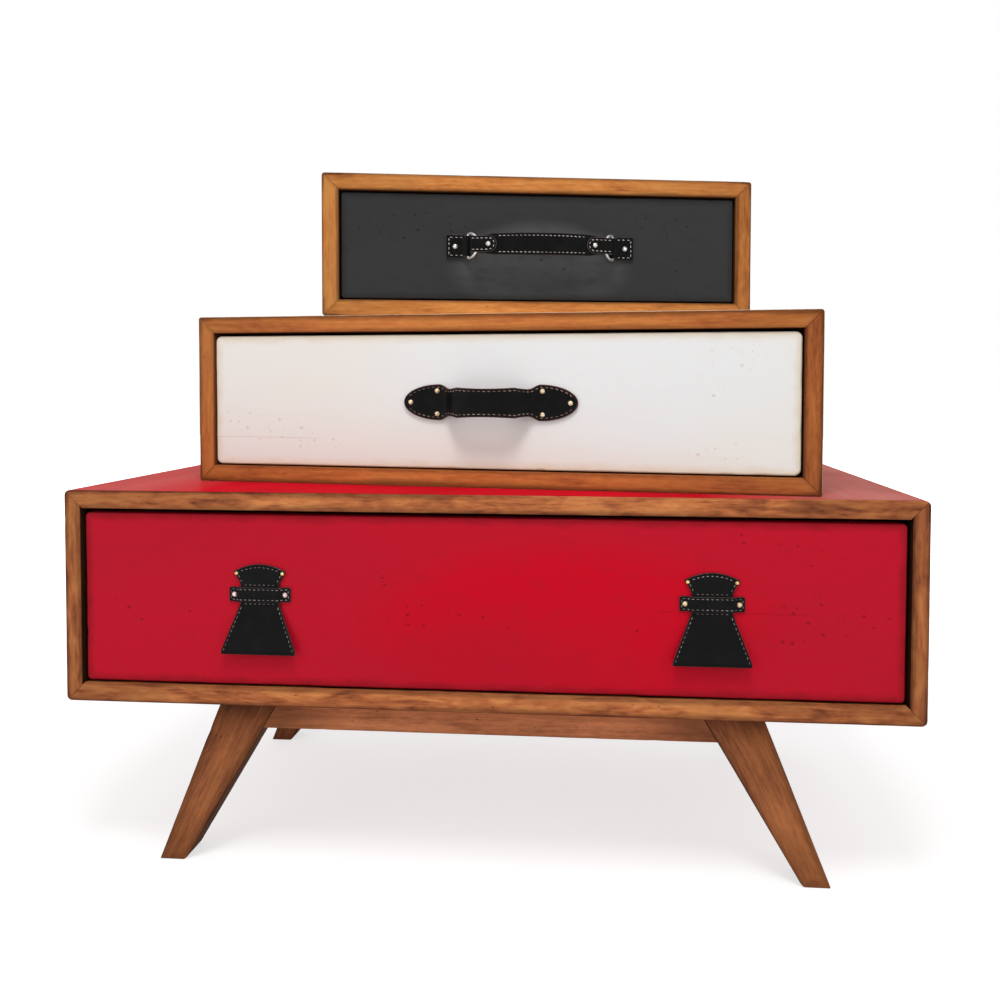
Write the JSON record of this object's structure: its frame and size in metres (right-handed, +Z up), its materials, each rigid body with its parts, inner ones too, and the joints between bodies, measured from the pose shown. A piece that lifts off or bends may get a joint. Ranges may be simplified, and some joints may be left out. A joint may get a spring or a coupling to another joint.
{
  "type": "chest of drawers",
  "caption": "Crooked stack of open-fronted wooden cases on a splayed-leg stand, each with one sliding drawer and leather pulls.",
  "frame": {"origin": "middle of the whole chest's footprint, on the floor", "axes": "+X along the lower case towards its right end, +Y towards the back, +Z up; the drawers face -Y"},
  "size_m": [1.1, 0.514, 0.941],
  "materials": {
    "stained_wood": "satin stained solid wood, outsides of the cases painted gloss",
    "bare_wood": "plain planed wood",
    "red_paint": "satin painted wood, lightly distressed",
    "white_paint": "satin painted wood, lightly distressed",
    "charcoal_paint": "satin painted wood, lightly distressed",
    "black_leather": "polished black leather with pale stitching",
    "brass": "polished",
    "chrome": "polished",
    "steel": "zinc plated"
  },
  "bodies": {
    "chest": {"lower_top_board": "stained_wood", "lower_bottom_board": "stained_wood", "lower_left_board": "stained_wood", "lower_right_board": "stained_wood", "lower_back_panel": "bare_wood", "lower_left_runner": "bare_wood", "lower_right_runner": "bare_wood", "middle_top_board": "stained_wood", "middle_bottom_board": "stained_wood", "middle_left_board": "stained_wood", "middle_right_board": "stained_wood", "middle_back_panel": "bare_wood", "middle_left_runner": "bare_wood", "middle_right_runner": "bare_wood", "upper_top_board": "stained_wood", "upper_bottom_board": "stained_wood", "upper_left_board": "stained_wood", "upper_right_board": "stained_wood", "upper_back_panel": "bare_wood", "upper_left_runner": "bare_wood", "upper_right_runner": "bare_wood", "leg_front_left": "stained_wood", "leg_front_right": "stained_wood", "leg_rear_left": "stained_wood", "leg_rear_right": "stained_wood", "apron_front": "stained_wood", "apron_rear": "stained_wood", "side_rail_left": "stained_wood", "side_rail_right": "stained_wood", "wood_screws": "steel"},
    "lower_drawer": {"lower_drawer_front": "red_paint", "lower_drawer_left_side": "bare_wood", "lower_drawer_right_side": "bare_wood", "lower_drawer_back": "bare_wood", "lower_drawer_bottom": "bare_wood", "red_left_pull": "black_leather", "red_right_pull": "black_leather", "red_left_keeper": "black_leather", "red_right_keeper": "black_leather", "red_pull_rivets": "brass"},
    "middle_drawer": {"middle_drawer_front": "white_paint", "middle_drawer_left_side": "bare_wood", "middle_drawer_right_side": "bare_wood", "middle_drawer_back": "bare_wood", "middle_drawer_bottom": "bare_wood", "white_handle_strap": "black_leather", "white_handle_rivets": "brass"},
    "upper_drawer": {"upper_drawer_front": "charcoal_paint", "upper_drawer_left_side": "bare_wood", "upper_drawer_right_side": "bare_wood", "upper_drawer_back": "bare_wood", "upper_drawer_bottom": "bare_wood", "charcoal_handle_left_tab": "black_leather", "charcoal_handle_right_tab": "black_leather", "charcoal_handle_left_loop": "black_leather", "charcoal_handle_right_loop": "black_leather", "charcoal_handle_rings": "chrome", "charcoal_handle_grip": "black_leather", "charcoal_handle_rivets": "chrome"}
  },
  "joints": [
    {"name": "lower_drawer_slide", "type": "slide", "parent": "chest", "child": "lower_drawer", "axis": [0, -1, 0], "range_m": [0, 0.32]},
    {"name": "middle_drawer_slide", "type": "slide", "parent": "chest", "child": "middle_drawer", "axis": [-0.1132, -0.9936, 0], "range_m": [0, 0.24]},
    {"name": "upper_drawer_slide", "type": "slide", "parent": "chest", "child": "upper_drawer", "axis": [0.1478, -0.989, 0], "range_m": [0, 0.15]}
  ]
}
